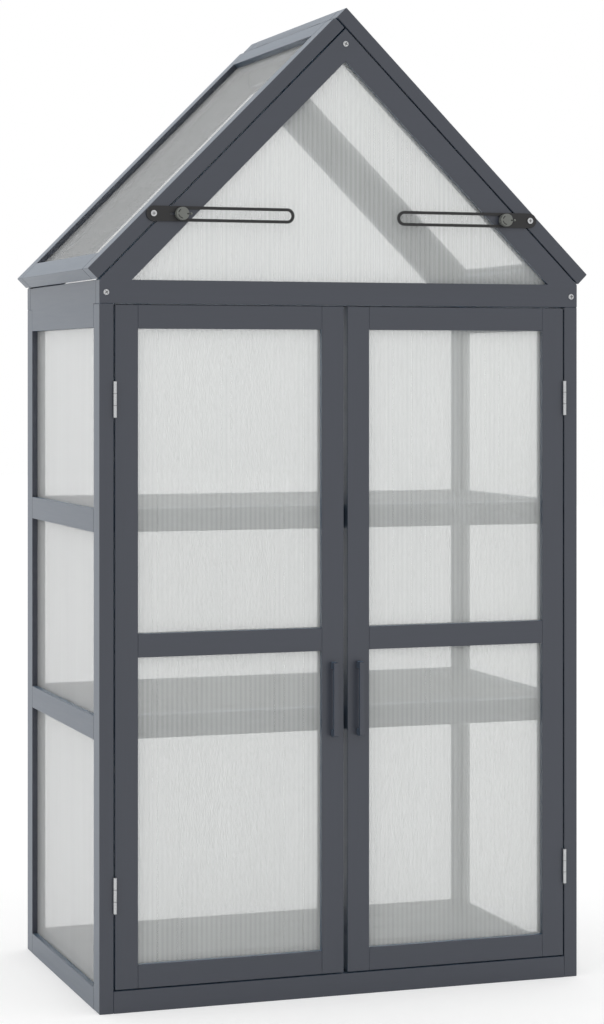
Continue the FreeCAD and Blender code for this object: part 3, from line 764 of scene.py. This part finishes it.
# Screws: turned heads, set by a tree wherever frames, handles and hinges are screwed
heads = {
    "round": {"cross": (0.0050, 0.0012), "crossDeep": 0.0011,
              "profile": ((0.0042, 0), (0.0042, 0.0005), (0.0039, 0.0011), (0.0033, 0.0016),
                          (0.0021, 0.00185), (0.0008, 0.0019))},
    "flat": {"cross": (0.0027, 0.0007), "crossDeep": 0.0005,
             "profile": ((0.0011, -0.0009), (0.0021, -0.00015), (0.0020, -0.00008),
                         (0.0006, -0.00006))},
}
screws = {
    "around": 28, "seed": 7, "turn": 1.5,       # radians at most, out of line with its neighbours
    "crossReach": 0.55, "crossDepths": (1.1, 0.23),                # shares of the cross
    "onGables": ((0, 1.3237), (-0.3435, 0.975), (0.3435, 0.975)),  # x and z
    "handleEnd": 0.0045,
}


def screwHead(cross, crossDeep, profile):
    # Stands on the origin and faces +Z
    top = profile[-1][1]
    work = bmesh.new()
    rings = turnedRings(work, profile, screws["around"], lambda radius, height, across, up: (
        radius * across, radius * up, height))
    ringFaces(work, rings)
    work.faces.new(rings[-1])
    work.faces.new(reversed(rings[0]))
    head = linked("screw_head", meshOf(work, "screw_head"))
    cutters = []
    for turn in (0, 90):
        cut = bmesh.new()
        bmesh.ops.create_cube(cut, size=1)
        size = Matrix.Diagonal((*cross, 2 * crossDeep, 1))
        placed = Matrix.Translation((0, 0, top)) @ Matrix.Rotation(math.radians(turn), 4, "Z")
        cut.transform(placed @ size)
        cutters.append(linked("screw_cross", meshOf(cut, "screw_cross")))
        addBoolean(head, "DIFFERENCE", cutters[-1])
    evaluated(head)
    for cutter in cutters:
        bpy.data.objects.remove(cutter)
    smoothed(head)
    # Faces deep in the cross are marked for the mid-grey painted shade
    recess = head.data.attributes.new("recess", "BOOLEAN", "FACE")
    deepest, least = [share * crossDeep for share in screws["crossDepths"]]
    for item, face in zip(recess.data, head.data.polygons):
        near = math.hypot(face.center.x, face.center.y) < cross[0] * screws["crossReach"]
        item.value = near and least < top - face.center.z < deepest
    return head


def screwTree():
    tree, given = newTree("set_screws", {"Places": "Geometry", "Head": "Object", "Finish": "Material",
                                         "CrossShade": "Material", "Turn": "Float", "Seed": "Int"})
    head = addNode(tree, "GeometryNodeObjectInfo", {"Object": given["Head"]}).outputs["Geometry"]
    outward = addNode(tree, "GeometryNodeInputNamedAttribute", {"Name": "outward"}, data_type="FLOAT_VECTOR")
    aim = addNode(tree, "FunctionNodeAlignRotationToVector", {"Vector": outward.outputs[0]}, axis="Z")
    spin = addNode(tree, "FunctionNodeRandomValue", {"Seed": given["Seed"]}, data_type="FLOAT")
    turn = maths(tree, "MULTIPLY", spin.outputs[1], given["Turn"])
    about = addNode(tree, "ShaderNodeCombineXYZ", {"Z": turn}).outputs[0]
    local = addNode(tree, "FunctionNodeEulerToRotation", {"Euler": about}).outputs[0]
    whole = addNode(tree, "FunctionNodeRotateRotation", {
        "Rotation": aim.outputs[0], "Rotate By": local}, rotation_space="LOCAL").outputs[0]
    placed = addNode(tree, "GeometryNodeInstanceOnPoints", {
        "Points": given["Places"], "Instance": head, "Rotation": whole}).outputs["Instances"]
    real = addNode(tree, "GeometryNodeRealizeInstances", {"Geometry": placed}).outputs["Geometry"]
    plated = addNode(tree, "GeometryNodeSetMaterial", {
        "Geometry": real, "Material": given["Finish"]}).outputs["Geometry"]
    cross = addNode(tree, "GeometryNodeInputNamedAttribute", {"Name": "recess"}, data_type="BOOLEAN")
    finished = addNode(tree, "GeometryNodeSetMaterial", {
        "Geometry": plated, "Selection": cross.outputs[0], "Material": given["CrossShade"]})
    addNode(tree, "NodeGroupOutput", {"Geometry": finished.outputs["Geometry"]})
    return tree


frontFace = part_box("front_gable_rail")[0].y
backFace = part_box("back_gable_rail")[1].y
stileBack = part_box("left_door_stiles")[1].y
screwPlaces = {("cabinet", "round"): [((x, face, z), (0, out, 0))
                                      for face, out in ((frontFace, -1), (backFace, 1))
                                      for x, z in screws["onGables"]]}
for side in sides:
    low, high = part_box(f"{side}_door_handle")
    middle = (low + high) / 2
    ends = (low.z + screws["handleEnd"], high.z - screws["handleEnd"])
    screwPlaces[(f"door_{side}", "round")] = [((middle.x, stileBack, z), (0, 1, 0)) for z in ends]
screwPlaces.update({(body, "flat"): places for body, places in hingeScrews.items()})
setScrews = screwTree()
for (body, kind), places in screwPlaces.items():
    head = screwHead(**heads[kind])
    mesh = bpy.data.meshes.new(f"{body}_{kind}_screws")
    mesh.from_pydata([place for place, outward in places], [], [])
    outwards = mesh.attributes.new("outward", "FLOAT_VECTOR", "POINT")
    for item, (place, outward) in zip(outwards.data, places):
        item.vector = outward
    piece = linked(f"{body}_{kind}_screws", mesh)
    grown(piece, setScrews, {"Head": head, "Finish": metals["bright_zinc"],
                             "CrossShade": metals["painted_shade_grey"], "Turn": screws["turn"],
                             "Seed": screws["seed"]})
    bpy.data.objects.remove(head)
    joinTo(piece, body, "zinc")
print("greenhouse: screws set")

# Pale floor and an even white studio, which the camera sees as plain white
studio = {
    "floor": 6.0, "floorBehind": 18.0, "floorColour": 0.66, "floorClouds": (3, 2), "floorSpread": 0.003,
    "lift": 0.40,       # the floor's own glow, for the camera and mirrors alone
    "sky": 1.0,
    "passes": 32,       # sheets and webs that one slanting look may go through
}
view = {"lens": 92.16, "sensor": 36, "shift": (-0.00034, -0.13584),
        "spot": (-1.2422, -3.6381, 0.8659), "turn": (90, 0, -18.957)}


def paleFloor():
    mesh = bpy.data.meshes.new("floor")
    side, behind = studio["floor"], studio["floorBehind"]
    corners = [(-side, -side, 0), (side, -side, 0), (side, behind, 0), (-side, behind, 0)]
    mesh.from_pydata(corners, [], [(0, 1, 2, 3)])
    material, tree, spot = newMaterial("pale_floor")
    cloud = noise(tree, spot, *studio["floorClouds"])
    grey = shades(tree, cloud, [studio["floorColour"]] * 3, studio["floorSpread"])
    matte = addNode(tree, "ShaderNodeBsdfDiffuse", {"Color": grey})
    path = addNode(tree, "ShaderNodeLightPath", {}).outputs
    seen = path["Is Camera Ray"]
    for kind in ("Is Glossy Ray", "Is Transmission Ray"):
        seen = maths(tree, "MAXIMUM", seen, path[kind])
    lift = maths(tree, "MULTIPLY", seen, studio["lift"])
    glow = addNode(tree, "ShaderNodeEmission", {"Color": (1, 1, 1, 1), "Strength": lift})
    both = addNode(tree, "ShaderNodeAddShader", {0: matte.outputs[0], 1: glow.outputs[0]})
    addNode(tree, "ShaderNodeOutputMaterial", {"Surface": both.outputs[0]})
    mesh.materials.append(material)
    linked("floor", mesh)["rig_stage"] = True


def whiteWorld():
    world = bpy.data.worlds.new("white_studio")
    scene.world = world
    world.use_nodes = True
    tree = world.node_tree
    tree.nodes.clear()
    sky = addNode(tree, "ShaderNodeBackground", {"Color": (1, 1, 1, 1), "Strength": studio["sky"]})
    addNode(tree, "ShaderNodeOutputWorld", {"Surface": sky.outputs[0]})


def studioCamera():
    camera = bpy.data.cameras.new("camera")
    camera.lens = view["lens"]
    camera.sensor_width = view["sensor"]
    camera.shift_x, camera.shift_y = view["shift"]
    scene.camera = linked("camera", camera)
    scene.camera.location = view["spot"]
    scene.camera.rotation_euler = [math.radians(angle) for angle in view["turn"]]


paleFloor()
whiteWorld()
studioCamera()
scene.view_settings.view_transform = "Standard"
scene.cycles.transparent_max_bounces = studio["passes"]
print("greenhouse: studio ready")

boxes = {"cad": cadBox, "visual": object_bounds()}
{name: [list(corner) for corner in box] for name, box in boxes.items()}
